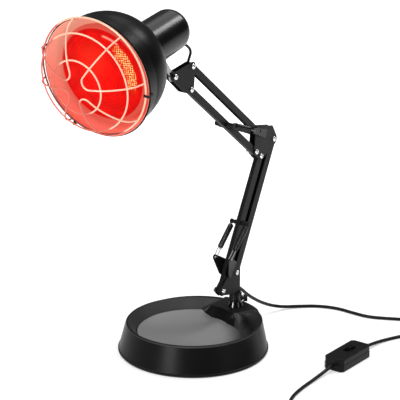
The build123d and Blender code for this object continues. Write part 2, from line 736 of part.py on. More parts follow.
def mains_cord():
    route = [
        switch_point(-SWITCH_L / 2 - 0.5, 8.0),
        (13, -189.5, 5.0),
        (-12, -187.2, CORD_R),
        (-40, -187, CORD_R),
        (-69, -190, CORD_R),
        (-93.5, -200.2, CORD_R),
        (-114, -217.5, CORD_R),
    ]
    return tube("mains_cord", route, CORD_R)


def switch_outline(margin):
    """Plan of the switch: a block with bevelled corners."""
    bevel = 4.0
    return chamfer((Rectangle(SWITCH_L - 2 * margin, SWITCH_W - 2 * margin)).vertices(), bevel)


def switch_place():
    return Pos(SWITCH_AT[0], SWITCH_AT[1], 0) * Rot(0, 0, SWITCH_TURN)


def switch_base():
    """Lower half of the in-line switch."""
    block = extrude(switch_outline(0), SWITCH_SPLIT - 0.4)
    return switch_place() * chamfer(block.edges().group_by(Axis.Z)[0], 1.0)


def switch_cover():
    """Upper half of the in-line switch, with the slider's slot."""
    block = Pos(0, 0, SWITCH_SPLIT) * extrude(switch_outline(0.4), SWITCH_H - SWITCH_SPLIT)
    block = fillet(block.edges().group_by(Axis.Z)[-1], 1.6)
    slot = Pos(4, 0, SWITCH_H) * Box(19, 9, 5.8)
    return switch_place() * (block - slot)


def switch_slider():
    """Ridged slide button."""
    knob = Pos(7, 0, SWITCH_H - 2.4) * Box(10, 8, 5.4, align=FROM_BELOW)
    for step in range(3):
        knob -= Pos(4.5 + 2.5 * step, 0, SWITCH_H + 3) * Box(1.0, 9, 1.2)
    return switch_place() * knob


def cord_coil():
    """The rest of the mains cord, wound and laid flat."""
    return Pos(*COIL_AT, COIL_BAND) * Torus(COIL_R, COIL_BAND)


def plug_place():
    return Pos(*PLUG_AT, 0) * Rot(0, 0, 90)


def plug():
    """Moulded two blade plug on the end of the cord, with its tapered strain relief."""
    body = Box(36, 24, 17, align=(Align.MIN, Align.CENTER, Align.MIN))
    body = fillet(body.edges().filter_by(Axis.X), 4)
    tail = Pos(0, 0, 8.5) * Rot(0, -90, 0) * Cone(5.5, 3.2, 22, align=FROM_BELOW)
    return plug_place() * (body + tail)


def plug_blades():
    """The plug's two flat blades."""
    blade = Pos(0, 0, 5.4) * Box(17, 1.5, 6.2, align=(Align.MIN, Align.CENTER, Align.MIN))
    return Compound([plug_place() * Pos(36, side * 6.35, 0) * blade for side in (1, -1)])


def write(name, shape):
    export_step(shape, f"parts/{name}.step")


def main():
    os.makedirs("parts", exist_ok=True)
    base_pins = [LOW_FRONT, LOW_REAR]
    elbow_pins = [ELBOW_FRONT, ELBOW_REAR, UP_LOW]
    head_pins = [HEAD_LOW, HEAD_HIGH, TILT]
    pieces = {
        "base_shell": base_shell(),
        "base_weight": base_weight(),
        "base_plate": base_plate(),
        "base_screws": base_screws(),
        "foot_pad": foot_pad(),
        "post_socket": post_socket(),
        "thumb_screw": thumb_screw(),
        "swivel_pin": swivel_pin(),
        "swivel_washer": swivel_washer(),
        "cord_gland": cord_gland(),
        "base_bracket": base_bracket(),
        "base_bolts": bolts(base_pins),
        "base_nuts": nuts(base_pins),
        "lower_front_bar": lower_front_bar(),
        "lower_rear_bar": lower_rear_bar(),
        "lower_stud": spring_stud(LOW_STUD),
        "lower_spring_near": spring(LOW_STUD, HORN_TIP, -1, 5.5, 35.5),
        "lower_spring_far": spring(LOW_STUD, HORN_TIP, 1, 5.5, 35.5),
        "elbow_bracket": elbow_bracket(),
        "elbow_bolts": bolts(elbow_pins, ELBOW_NUT_T),
        "elbow_nuts": nuts(elbow_pins, ELBOW_NUT_T, ELBOW_NUT_R),
        "elbow_rivet": rivet(UP_HIGH),
        "upper_low_bar": upper_low_bar(),
        "upper_high_bar": upper_high_bar(),
        "upper_stud": spring_stud(UP_STUD),
        "upper_spring_near": spring(UP_STUD, TAB_TIP, -1, 4.8, 37.0, UPPER_SPRING_R),
        "upper_spring_far": spring(UP_STUD, TAB_TIP, 1, 4.8, 37.0, UPPER_SPRING_R),
        "head_bracket": head_bracket(),
        "head_bolts": bolts(head_pins),
        "head_nuts": nuts(head_pins),
        "tilt_tongue": tilt_tongue(),
        "tongue_washers": tongue_washers(),
        "shade": shade(),
        "lamp_housing": lamp_housing(),
        "lampholder": lampholder(),
        "bulb_glass": bulb_glass(),
        "bulb_cap": bulb_cap(),
        "bulb_tip": bulb_tip(),
        "guard_rings": guard_rings(),
        "guard_hairpins": guard_hairpins(),
        "guard_clips": guard_clips(),
        "cable_bush": cable_bush(),
        "head_lead": head_lead(),
        "lamp_cord": lamp_cord(),
        "mains_cord": mains_cord(),
        "cord_coil": cord_coil(),
        "switch_base": switch_base(),
        "switch_cover": switch_cover(),
        "switch_slider": switch_slider(),
        "plug": plug(),
        "plug_blades": plug_blades(),
    }
    for name, shape in pieces.items():
        write(name, shape)


main()
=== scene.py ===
import json
import math

import bmesh
import bpy
from mathutils import Matrix, Vector


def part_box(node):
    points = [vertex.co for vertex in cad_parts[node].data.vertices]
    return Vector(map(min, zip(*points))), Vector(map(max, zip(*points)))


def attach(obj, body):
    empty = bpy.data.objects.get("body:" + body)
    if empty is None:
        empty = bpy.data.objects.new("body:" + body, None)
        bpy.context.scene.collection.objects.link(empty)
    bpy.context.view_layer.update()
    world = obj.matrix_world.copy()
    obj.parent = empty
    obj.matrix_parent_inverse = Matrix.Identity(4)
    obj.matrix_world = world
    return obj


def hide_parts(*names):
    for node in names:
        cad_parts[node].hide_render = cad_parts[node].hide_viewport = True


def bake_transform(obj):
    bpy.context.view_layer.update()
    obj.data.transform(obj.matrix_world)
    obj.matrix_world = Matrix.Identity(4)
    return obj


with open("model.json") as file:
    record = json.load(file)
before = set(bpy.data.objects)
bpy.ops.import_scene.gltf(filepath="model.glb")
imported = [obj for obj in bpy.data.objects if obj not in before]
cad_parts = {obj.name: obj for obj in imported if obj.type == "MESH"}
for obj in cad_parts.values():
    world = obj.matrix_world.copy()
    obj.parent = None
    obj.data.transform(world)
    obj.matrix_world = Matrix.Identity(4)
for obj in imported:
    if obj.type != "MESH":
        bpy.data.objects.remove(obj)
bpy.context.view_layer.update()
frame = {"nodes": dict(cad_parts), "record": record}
nodes = frame["nodes"]
scene = bpy.context.scene

armY = -0.0208  # the plane the arm works in
headOrigin = Vector((-0.229234, armY, 0.415398))  # centre of the shade's rim
headTilt = math.radians(11.45)
headUp = Vector((-math.sin(headTilt), 0, math.cos(headTilt)))
headSide = Vector((0, -1, 0))
headBack = Vector((math.cos(headTilt), 0, math.sin(headTilt)))

# camera

cameraSet = {
    "azimuth": -57.0,
    "elevation": 17.506,
    "distance": 2.0,
    "target": (0.0049, -0.0076, 0.2068),
    "lens": 139.23,
    "sensor": 36.0,
    "clip": (0.05, 50.0),
}


def addCamera(settings):
    azimuth, elevation = math.radians(settings["azimuth"]), math.radians(settings["elevation"])
    level = math.cos(elevation)
    back = Vector((math.sin(azimuth) * level, -math.cos(azimuth) * level, math.sin(elevation)))
    data = bpy.data.cameras.new("camera")
    data.lens, data.sensor_width = settings["lens"], settings["sensor"]
    data.clip_start, data.clip_end = settings["clip"]
    camera = bpy.data.objects.new("camera", data)
    scene.collection.objects.link(camera)
    camera.location = Vector(settings["target"]) + back * settings["distance"]
    camera.rotation_euler = (-back).to_track_quat("-Z", "Y").to_euler()
    scene.camera = camera


addCamera(cameraSet)
print("camera placed")

# shader formulas


class Signal:
    # a node's output that can be used in sums

    def __init__(self, finish, socket):
        self.finish, self.socket = finish, socket

    def __add__(self, other):
        return self.finish.math("ADD", self, other)

    def __radd__(self, other):
        return self.finish.math("ADD", other, self)

    def __sub__(self, other):
        return self.finish.math("SUBTRACT", self, other)

    def __rsub__(self, other):
        return self.finish.math("SUBTRACT", other, self)

    def __mul__(self, other):
        return self.finish.math("MULTIPLY", self, other)

    def __rmul__(self, other):
        return self.finish.math("MULTIPLY", other, self)

    def __truediv__(self, other):
        return self.finish.math("DIVIDE", self, other)

    def __pow__(self, other):
        return self.finish.math("POWER", self, other)

    def __gt__(self, other):
        return self.finish.math("GREATER_THAN", self, other)

    def __lt__(self, other):
        return self.finish.math("LESS_THAN", self, other)


class Finish:
    # one material and the short words its formulas are written in

    def __init__(self, name, **sockets):
        self.material = bpy.data.materials.new(name)
        self.material.use_nodes = True
        self.tree = self.material.node_tree
        self.tree.nodes.clear()
        self.shader = self.tree.nodes.new("ShaderNodeBsdfPrincipled")
        output = self.tree.nodes.new("ShaderNodeOutputMaterial")
        self.tree.links.new(self.shader.outputs[0], output.inputs[0])
        self.place = self.make("ShaderNodeTexCoord", out="Object")
        self.wear(**sockets)

    def wear(self, **sockets):
        for key, value in sockets.items():
            self.plug(self.shader.inputs[key.replace("_", " ")], value)

    def plug(self, target, value):
        if isinstance(value, Signal):
            self.tree.links.new(value.socket, target)
        else:
            target.default_value = (*value, 1.0) if target.type == "RGBA" and len(value) == 3 else value

    def make(self, kind, settings=None, sockets=None, out=0):
        node = self.tree.nodes.new(kind)
        for key, value in (settings or {}).items():
            setattr(node, key, value)
        for key, value in (sockets or {}).items():
            self.plug(node.inputs[key], value)
        return Signal(self, node.outputs[out])

    def math(self, operation, first, second):
        return self.make("ShaderNodeMath", {"operation": operation}, {0: first, 1: second})

    def mix(self, share, first, second):
        return self.make("ShaderNodeMix", {"data_type": "RGBA"}, {0: share, 6: first, 7: second}, out=2)

    def ease(self, value, low, high):
        settings = {"interpolation_type": "SMOOTHSTEP"}
        return self.make("ShaderNodeMapRange", settings, {"Value": value, "From Min": low, "From Max": high})

    def between(self, value, rise, fall):
        # fades in over the first pair of values and out over the second
        return self.ease(value, *rise) * (1 - self.ease(value, *fall))

    def noise(self, scale, detail=2.0, place=None):
        sockets = {"Vector": place or self.place, "Scale": scale, "Detail": detail}
        return self.make("ShaderNodeTexNoise", sockets=sockets)

    def bump(self, height, strength, distance):
        sockets = {"Strength": strength, "Distance": distance, "Height": height}
        return self.make("ShaderNodeBump", sockets=sockets)

    def vectors(self, operation, sockets, out=0):
        return self.make("ShaderNodeVectorMath", {"operation": operation}, sockets, out)

    def dot(self, first, second):
        return self.vectors("DOT_PRODUCT", {0: first, 1: second}, "Value")

    def axis(self, direction, origin=(0, 0, 0)):
        return self.dot(self.vectors("SUBTRACT", {0: self.place, 1: origin}), direction)

    def face(self):
        # up and sideways across the head's face, and the distance from its middle
        v, w = self.axis(headUp, headOrigin), self.axis(headSide, headOrigin)
        return v, w, (v * v + w * w) ** 0.5

    def stretched(self, along, thin, wide):
        # coordinates squeezed so that a noise runs in streaks along one direction
        turn = Vector(along).to_track_quat("X", "Z").to_euler()
        sockets = {"Vector": self.place, "Rotation": turn, "Scale": (wide, thin, thin)}
        return self.make("ShaderNodeMapping", {"vector_type": "TEXTURE"}, sockets)


def tinted(colour, share):
    return [channel * share for channel in colour]


def toward(degrees, v, w):
    # distance across the face in one direction, which is counted from straight up
    turn = math.radians(degrees)
    return v * math.cos(turn) + w * math.sin(turn)


def paintedSteel(name, colour, roughness, gloss=0.08):
    # satin powder coat: a fine orange peel and a soft cloudiness in the gloss
    finish = Finish(name, Specular_IOR_Level=gloss)
    cloud = finish.noise(35, 3)
    peel = finish.noise(1300, 2) * 0.7 + finish.noise(420, 1) * 0.5
    shade = finish.mix(cloud, tinted(colour, 0.75), tinted(colour, 1.35))
    finish.wear(Base_Color=shade, Roughness=roughness - 0.05 + cloud * 0.1 + finish.noise(900, 2) * 0.06)
    finish.wear(Normal=finish.bump(peel, 0.25, 0.00012))
    return finish


def mouldedPlastic(name, colour, roughness, grain, gloss=0.2):
    # black moulded plastic with a spark-eroded grain
    finish = Finish(name, Specular_IOR_Level=gloss)
    cloud, fine = finish.noise(22, 3), finish.noise(1700, 3)
    shade = finish.mix(cloud, tinted(colour, 0.8), tinted(colour, 1.3))
    finish.wear(Base_Color=shade, Roughness=roughness - 0.04 + cloud * 0.08)
    finish.wear(Normal=finish.bump(fine, grain, 0.0001))
    return finish


def platedSteel(name, colour, roughness, streak=(0, 0, 1)):
    # bright plate over drawn steel: fine streaks and a slightly cloudy gloss
    finish = Finish(name, Metallic=1.0)
    drawn = finish.noise(1.0, 3, finish.stretched(streak, 0.00022, 0.012))
    cloud = finish.noise(140, 3)
    tone = finish.mix(drawn * 0.6 + cloud * 0.4, tinted(colour, 0.78), colour)
    finish.wear(Base_Color=tone, Roughness=roughness - 0.06 + drawn * 0.09 + cloud * 0.05)
    finish.wear(Normal=finish.bump(drawn, 0.12, 0.00005))
    return finish


# painted reflection: a paler grey on the dish's floor, dimmed by painted shade in one direction
floorSheenSet = {
    "heights": (0.0255, 0.0264),  # the dish's floor lies between these
    "radius": 0.074,
    "paintedShadeWay": (0.545, -0.839),  # painted shade darkens the floor's painted reflection in this direction,
    "paintedShadeReach": (0.036, 0.066),  # between these distances from the centre,
    "paintedShadeShare": 0.88,  # by this much
    "tones": ((0.18, 0.18, 0.181), (0.225, 0.225, 0.226)),
}


def floorSheenMask(finish, settings):
    x, y, z = finish.axis((1, 0, 0)), finish.axis((0, 1, 0)), finish.axis((0, 0, 1))
    (low, high), (dimX, dimY) = settings["heights"], settings["paintedShadeWay"]
    mask = (z < high) * (z > low) * ((x * x + y * y) ** 0.5 < settings["radius"])
    return mask * (1 - finish.ease(x * dimX + y * dimY, *settings["paintedShadeReach"]) * settings["paintedShadeShare"])


def baseFinish(settings):
    # satin plastic: glossier where it faces up, its slopes painted lighter as painted light, and a paler grey
    # painted on the dish's floor as painted reflection
    finish = Finish("basePlastic", Specular_IOR_Level=0.08, Coat_Roughness=0.34, Coat_IOR=1.5)
    upright = finish.dot(finish.make("ShaderNodeTexCoord", out="Normal"), (0, 0, 1))
    # the dish floor's painted reflection, with its painted shade
    floorSheen = floorSheenMask(finish, settings)
    slope = finish.between(upright, (0.42, 0.55), (0.7, 0.9))
    level = finish.ease(upright, 0.9, 0.97)
    cloud, broad, fine = finish.noise(60, 2), finish.noise(14, 2), finish.noise(1700, 3)
    black = finish.mix(broad, (0.0045, 0.0045, 0.005), (0.0075, 0.0075, 0.008))
    # painted light: the sloped faces get a lighter colour than the rest of the black plastic
    black = finish.mix(slope, black, (0.030, 0.030, 0.031))
    pale = finish.mix(broad, *settings["tones"])
    finish.wear(Base_Color=finish.mix(floorSheen, black, pale), Roughness=0.30 + cloud * 0.06)
    finish.wear(Coat_Weight=slope * 0.9 + level * 0.3, Normal=finish.bump(fine, 0.2, 0.0001))
    return finish


def castFinish():
    finish = Finish("castIron", Metallic=0.4)
    coarse, fine = finish.noise(90, 4), finish.noise(700, 4)
    grey = finish.mix(coarse, (0.06, 0.06, 0.06), (0.16, 0.15, 0.14))
    finish.wear(Base_Color=grey, Roughness=0.6 + fine * 0.2)
    finish.wear(Normal=finish.bump(coarse * 0.6 + fine, 0.6, 0.0006))
    return finish


def rubberFinish(name, colour):
    finish = Finish(name, IOR=1.45)
    fine = finish.noise(1500, 3)
    finish.wear(Base_Color=finish.mix(finish.noise(40, 2), tinted(colour, 0.8), tinted(colour, 1.3)))
    finish.wear(Roughness=0.55 + fine * 0.15, Normal=finish.bump(fine, 0.3, 0.0001))
    return finish


shadeSet = {
    "skirt": (0.020, 0.07145, 0.185),  # its depth, its inside radius at the rim and how fast that narrows
    "bowl": (0.01999, 0.0678),  # where it starts behind the rim, and its inside radius
    "crownAcross": (-0.038, -0.018),  # painted shade at the top of the inside fades in across the face
    "crownUp": (0.04, 0.056),  # and up it
    "lip": 0.0016,  # depth of the front edge
}
# the arc of the shade's front edge where red light is painted on as a glow: its middle, from straight up, and
# the cosines where it ends
paintedGlowArc = {"middle": -133, "ends": (0.30, 0.42)}


def shadeFinish(settings):
    # satin black outside; bright inside, with the lamp's red light painted on as a pinkish tint and a glow
    finish = Finish("shadePaint", Specular_IOR_Level=0.05)
    s = finish.axis(headBack, headOrigin)
    v, w, ring = finish.face()
    depth, skirtRadius, narrowing = settings["skirt"]
    bowlStart, bowlRadius = settings["bowl"]
    bowlReach = (ring * ring + (s - depth) * (s - depth)) ** 0.5
    inSkirt = (s < depth) * (ring < skirtRadius - s * narrowing)
    inBowl = (s > bowlStart) * (bowlReach < bowlRadius)
    inside = (inSkirt + inBowl) > 0.5
    cloud, fine = finish.noise(45, 3), finish.noise(1200, 2)
    outer = finish.mix(cloud, (0.004, 0.004, 0.0045), (0.008, 0.008, 0.0085))
    brushed = finish.noise(900, 2)
    # the inside's bright paint, tinted pink by painted red light
    inner = finish.mix(brushed, (0.42, 0.17, 0.14), (0.52, 0.23, 0.19))
    # painted red light glowing on the inside
    lit = finish.mix(finish.ease(v, -0.06, 0.055), (0.42, 0.045, 0.028), (0.46, 0.25, 0.18))
    # painted shade over the top of the inside
    crown = finish.ease(w, *settings["crownAcross"]) * finish.ease(v, *settings["crownUp"])
    lit = finish.mix(crown * 0.9, lit, (0.07, 0.02, 0.012))
    inner = finish.mix(crown * 0.7, inner, (0.16, 0.07, 0.055))
    # painted red light and glow on the front edge's lit arc
    arc = finish.ease(toward(paintedGlowArc["middle"], v, w) / ring, *paintedGlowArc["ends"])
    lip = (s < settings["lip"]) * arc * (1 - inside)
    outer = finish.mix(lip, outer, (0.10, 0.03, 0.024))
    finish.wear(Base_Color=finish.mix(inside, outer, inner), Roughness=0.28 + cloud * 0.08 + inside * 0.05)
    glow = finish.mix(lip, (0, 0, 0), (0.34, 0.10, 0.08))
    finish.wear(Emission_Color=finish.mix(inside, glow, lit), Emission_Strength=1.0)
    finish.wear(Normal=finish.bump(fine, 0.12, 0.00008))
    return finish


glassSet = {
    "stipple": 0.0026,  # pitch of the pressed dimples
    "glow": (0.018, -0.008),  # where the filament's warm glow sits on the face
    "glowReach": (0.004, 0.030),
    # a ring is where something fades in and out from the face's middle, and an arc the cosines where it ends
    "filamentGlint": 72.0,  # direction of the crescent of painted glints round the face, the filament's reflection in the dimples, from straight up
    "filamentGlintRing": ((0.029, 0.041), (0.0465, 0.049)),
    "filamentGlintArc": (0.66, 0.93),
    "glintDots": 64.0,  # and of the looser painted glints round it
    "glintDotsRing": ((0.018, 0.034), (0.047, 0.049)),
    "glintDotsArc": (0.70, 0.97),
    "streak": 23.0,  # and of the bright streak above it
    "streakRing": ((0.0462, 0.0474), (0.0488, 0.0500)),
    "streakArc": (0.962, 0.985),
    "ripple": 1450.0,
    "darkFrom": (0.049, 0.0535),  # the face darkens towards its edge
    "edge": 0.0545,  # where the red face gives way to the glass's pale edge
    "edgeSteps": (0.0005, 0.0012),
}


def glassFinish(settings):
    # ruby pressed glass, lit from behind: deep red, a warm glow, and a crescent of painted glints, the
    # filament's reflection in the dimples
    finish = Finish("rubyGlass", Roughness=0.2, Specular_IOR_Level=0.025, Emission_Strength=0.92)
    v, w, ring = finish.face()
    face = finish.make("ShaderNodeCombineXYZ", sockets={0: v, 1: w})
    sockets = {"Vector": face, "Scale": 1 / settings["stipple"], "Randomness": 0.3}
    flat = {"voronoi_dimensions": "2D"}
    cell = finish.make("ShaderNodeTexVoronoi", flat, sockets, out="Distance")
    chance = finish.make("ShaderNodeTexVoronoi", flat, sockets, out="Color") * 1.0

    def sector(name):
        arc = finish.ease(toward(settings[name], v, w) / (ring + 0.0001), *settings[f"{name}Arc"])
        return finish.between(ring, *settings[f"{name}Ring"]) * arc

    glowV, glowW = v - settings["glow"][0], w - settings["glow"][1]
    glow = 1 - finish.ease((glowV * glowV + glowW * glowW) ** 0.5, *settings["glowReach"])
    # painted glints: the filament reflected in the dimples
    glintCrescent, glintDots, streak = sector("filamentGlint"), sector("glintDots"), sector("streak")
    glinting = finish.ease(glintCrescent * 0.8 + glintDots * 0.3 + chance * 0.5, 0.60, 1.05)
    spot = (1 - finish.ease(cell, 0.22, 0.46)) * glinting
    spark = finish.ease(glintCrescent + chance * 0.8, 0.8, 1.5)
    ripple = finish.make("ShaderNodeMath", {"operation": "SINE"}, {0: ring * settings["ripple"]})
    cloud = finish.noise(70, 3)
    tone = finish.mix(finish.ease(cloud, 0.35, 0.7), (0.62, 0.0015, 0.0008), (0.80, 0.003, 0.0012))
    tone = finish.mix(glow * (0.75 - 0.4 * cell), tone, (0.88, 0.030, 0.010))
    tone = finish.mix(finish.ease(ripple, 0.75, 1.0) * 0.3, tone, (0.85, 0.022, 0.009))
    tone = finish.mix(glintCrescent * 0.6, tone, (0.50, 0.06, 0.006))
    tone = finish.mix(spot, tone, finish.mix(spark, (1.1, 0.30, 0.08), (1.5, 0.95, 0.34)))
    tone = finish.mix(streak * 0.8, tone, (1.0, 0.42, 0.30))
    edge, (before, after) = settings["edge"], settings["edgeSteps"]
    dark = finish.between(ring, settings["darkFrom"], (edge - before, edge))
    tone = finish.mix(dark * 0.5, tone, (0.45, 0.002, 0.002))
    tone = finish.mix(finish.ease(ring, edge, edge + after), tone, (0.62, 0.10, 0.07))
    finish.wear(Emission_Color=tone, Base_Color=(0.14, 0.002, 0.0015))
    finish.wear(Normal=finish.bump(1 - cell, 0.35, 0.0003))
    return finish


guardSet = {
    "paintedShadeWay": -121,  # painted shade dims the wires past the face's middle in this direction, from straight up
    "paintedShadeReach": (0.0, 0.007),
    "rim": 0.0655,  # the rim ring lies outside this radius
}


def wireFinish(settings):
    # plated guard wire with the lamp's light painted on: pale with a painted glow on one side of the face,
    # dimmed by painted shade on the other, and dark with painted shade round the painted glow arc
    finish = Finish("guardWire", Metallic=0.3, Specular_IOR_Level=0.2)
    v, w, ring = finish.face()
    # painted shade: the wires dim on one side of the face
    fade = finish.ease(toward(settings["paintedShadeWay"], v, w), *settings["paintedShadeReach"])
    arc = finish.ease(toward(paintedGlowArc["middle"], v, w) / (ring + 0.0001), *paintedGlowArc["ends"])
    # painted shade on the rim ring along the arc where the shade's edge has its painted glow
    rim = arc * (ring > settings["rim"])
    cloud = finish.noise(160, 3)
    # pale plated wire, tinted by painted red light
    pale = finish.mix(cloud, (0.44, 0.30, 0.23), (0.54, 0.38, 0.30))
    tone = finish.mix(fade, pale, (0.24, 0.07, 0.05))
    # painted glow of the lamp's light on the wires
    lit = finish.mix(fade, (0.52, 0.27, 0.17), (0.50, 0.11, 0.08))
    finish.wear(Base_Color=finish.mix(rim, tone, (0.05, 0.02, 0.016)), Roughness=0.3 + cloud * 0.1)
    finish.wear(Emission_Color=finish.mix(rim, lit, (0.20, 0.05, 0.04)), Emission_Strength=1.0)
    finish.wear(Normal=finish.bump(finish.noise(900, 2), 0.1, 0.00005))
    return finish


def ceramicFinish():
    finish = Finish("porcelain", IOR=1.5, Coat_Weight=0.3)
    cloud = finish.noise(50, 3)
    cream = finish.mix(cloud, (0.72, 0.70, 0.64), (0.86, 0.84, 0.79))
    finish.wear(Base_Color=cream, Roughness=0.22 + cloud * 0.15)
    finish.wear(Normal=finish.bump(finish.noise(300, 2), 0.15, 0.0002))
    return finish


def cordFinish():
    finish = Finish("cordVinyl", Specular_IOR_Level=0.1)
    cloud, fine = finish.noise(60, 2), finish.noise(1100, 3)
    black = finish.mix(cloud, (0.007, 0.007, 0.007), (0.016, 0.016, 0.016))
    finish.wear(Base_Color=black, Roughness=0.3 + fine * 0.12)
    finish.wear(Normal=finish.bump(fine, 0.2, 0.0001))
    return finish


def brassFinish():
    finish = Finish("bladeBrass", Metallic=1.0)
    drawn = finish.noise(1.0, 3, finish.stretched((0, 1, 0), 0.0002, 0.012))
    brass = finish.mix(drawn, (0.52, 0.40, 0.18), (0.78, 0.63, 0.34))
    finish.wear(Base_Color=brass, Roughness=0.26 + drawn * 0.14)
    return finish


finishes = {
    "base_plastic": baseFinish(floorSheenSet),
    "cast_weight": castFinish(),
    "zinc_steel": platedSteel("zincSteel", (0.60, 0.60, 0.62), 0.34),
    "foot_rubber": rubberFinish("footRubber", (0.02, 0.02, 0.02)),
    "nylon": mouldedPlastic("nylon", (0.016, 0.016, 0.016), 0.45, 0.2),
    "knob_plastic": mouldedPlastic("knobPlastic", (0.011, 0.011, 0.011), 0.34, 0.2),
    "black_steel": paintedSteel("blackCoat", (0.010, 0.010, 0.0105), 0.38),
    "nickel_bolts": platedSteel("nickelPlate", (0.86, 0.85, 0.83), 0.2, (0, 1, 0)),
    "spring_steel": platedSteel("springWire", (0.045, 0.045, 0.047), 0.34),
    "bright_steel": platedSteel("brightStrip", (0.34, 0.34, 0.335), 0.26, (0.3, 0, 1)),
    "shade_black": shadeFinish(shadeSet),
    "ceramic": ceramicFinish(),
    "red_glass": glassFinish(glassSet),
    "cap_metal": platedSteel("capMetal", (0.72, 0.70, 0.66), 0.3),
    "contact_glass": mouldedPlastic("contactGlass", (0.02, 0.02, 0.02), 0.15, 0.05),
    "guard_wire": wireFinish(guardSet),
    "cord_black": cordFinish(),
    "switch_black": mouldedPlastic("switchPlastic", (0.007, 0.007, 0.007), 0.30, 0.15, 0.1),
    "blade_brass": brassFinish(),
}
housingFinish = paintedSteel("housingPaint", (0.005, 0.005, 0.0055), 0.22, 0.2)
socketFinish = mouldedPlastic("socketPlastic", (0.005, 0.005, 0.0055), 0.2, 0.1, 0.6)
clipFinish = paintedSteel("clipBlack", (0.012, 0.008, 0.008), 0.4)

for subpart in frame["record"]["subparts"]:
    mesh = nodes[subpart["node"]].data
    mesh.materials.clear()
    mesh.materials.append(finishes[subpart["material_slot"]].material)
ownFinishes = {"lamp_housing": housingFinish, "guard_clips": clipFinish, "post_socket": socketFinish}
for name, finish in ownFinishes.items():
    nodes[name].data.materials[0] = finish.material
print("finishes made")

# pieces


def objectFrom(name, bm):
    mesh = bpy.data.meshes.new(name)
    bm.to_mesh(mesh)
    bm.free()
    made = bpy.data.objects.new(name, mesh)
    scene.collection.objects.link(made)
    return made


def addPiece(name, bm, body, slots, replaced=(), sharp=38):
    # edges that turn by more degrees than sharp stay hard
    limit = math.radians(sharp)
    for edge in bm.edges:
        edge.smooth = edge.calc_face_angle(0) < limit
    for face in bm.faces:
        face.smooth = True
    piece = objectFrom(name, bm)
    for slot in slots:
        piece.data.materials.append(finishes[slot].material)
    if body:
        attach(piece, body)
    if replaced:
        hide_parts(*replaced)
    return piece


def ofKind(kind, geom):
    return [item for item in geom if isinstance(item, kind)]


def closed(bm):
    bmesh.ops.remove_doubles(bm, verts=bm.verts[:], dist=0.000002)
    bmesh.ops.recalc_face_normals(bm, faces=bm.faces[:])
    return bm


def spun(bm, profile, steps=32):
    # turns a (radius, height) profile about Z
    corners = [bm.verts.new((radius, 0, height)) for radius, height in profile]
    edges = [bm.edges.new(pair) for pair in zip(corners, corners[1:])]
    bmesh.ops.spin(
        bm, geom=corners + edges, cent=(0, 0, 0), axis=(0, 0, 1),
        angle=2 * math.pi, steps=steps, use_merge=True,
    )
    return closed(bm)


def curvePiece(name, points, radius, body, slot):
    curve = bpy.data.curves.new(name, "CURVE")
    curve.dimensions = "3D"
    spline = curve.splines.new("NURBS")
    spline.points.add(len(points) - 1)
    for knot, point in zip(spline.points, points):
        knot.co = (*point, 1.0)
    spline.order_u = 3
    spline.use_endpoint_u = True
    spline.resolution_u = 6
    curve.bevel_depth, curve.bevel_resolution, curve.use_fill_caps = radius, 5, True
    curve.materials.append(finishes[slot].material)
    piece = bpy.data.objects.new(name, curve)
    scene.collection.objects.link(piece)
    if body:
        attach(piece, body)
    return piece


def millimetres(points):
    return [tuple(value / 1000 for value in point) for point in points]


# cords

cordSet = {
    "radius": 0.0023,
    "stillHeight": 0.026,
    "lampRoute": millimetres([
        (79.5, -20.8, 66.0), (89, -20.8, 59.4), (103, -20.9, 47.8), (122, -21, 34.8), (145, -21, 21.4),
        (167, -23, 10.6), (186, -31, 4.0), (204, -46, 2.3), (220, -68, 2.3), (227, -96, 2.3),
        (223, -123, 2.3), (221, -148, 2.3), (231, -174, 2.3), (243, -201, 2.3), (238, -230, 2.3),
        (213, -236, 2.3), (186, -219, 2.3), (161, -205, 2.3), (133, -197.5, 4.2), (103.1, -196.8, 8.0),
    ]),
    "mainsRoute": millimetres([
        (36.5, -191.6, 8.0), (13, -189.5, 5.0), (-12, -187.2, 2.3), (-40, -187, 2.3), (-69, -190, 2.3),
        (-93.5, -200.2, 2.3), (-114, -217.5, 2.3),
    ]),
    "coilCentre": (-0.152, -0.212),
    "coilStart": 319.5,
    # turns, first and last radius, first and last height
    "coilRuns": [
        (2.45, 34.2, 22.2, 2.3, 2.3),
        (0.2, 22.2, 22.5, 2.3, 7.0),
        (1.95, 22.5, 32.0, 7.0, 7.0),
        (0.2, 32.0, 32.6, 7.0, 11.7),
        (0.25, 32.6, 28.6, 11.7, 11.7),
        (1.0875, 28.6, 28.9, 11.7, 11.7),
    ],
    "coilSteps": 14,
    "coilWaver": (0.12, 7.3),  # how far the turns waver, in millimetres, and how often
    "plugRun": millimetres([
        (-163.0, -242.6, 11.8), (-178.0, -240.6, 11.2), (-193.0, -233.0, 9.8),
        (-201.8, -221.5, 8.8), (-203.0, -211.0, 8.5), (-203.0, -204.0, 8.5),
    ]),
}


def coilPoints(settings):
    # each run winds clockwise; the turns lie side by side, then climb a layer
    points, turned = [], 0.0
    (centreX, centreY), (waver, often) = settings["coilCentre"], settings["coilWaver"]
    for turns, firstRadius, lastRadius, firstHeight, lastHeight in settings["coilRuns"]:
        count = max(2, round(turns * settings["coilSteps"]))
        for step in range(count):
            share = step / count
            wound = turned + turns * share
            angle = math.radians(settings["coilStart"] - 360 * wound)
            radius = firstRadius + (lastRadius - firstRadius) * share + waver * math.sin(often * wound)
            height = firstHeight + (lastHeight - firstHeight) * share
            x, y = centreX + radius / 1000 * math.cos(angle), centreY + radius / 1000 * math.sin(angle)
            points.append((x, y, height / 1000))
        turned += turns
    return points


mainsPoints = cordSet["mainsRoute"] + coilPoints(cordSet) + cordSet["plugRun"]
mainsCord = curvePiece("mainsCord", mainsPoints, cordSet["radius"], "base", "cord_black")
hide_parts("mains_cord", "cord_coil")

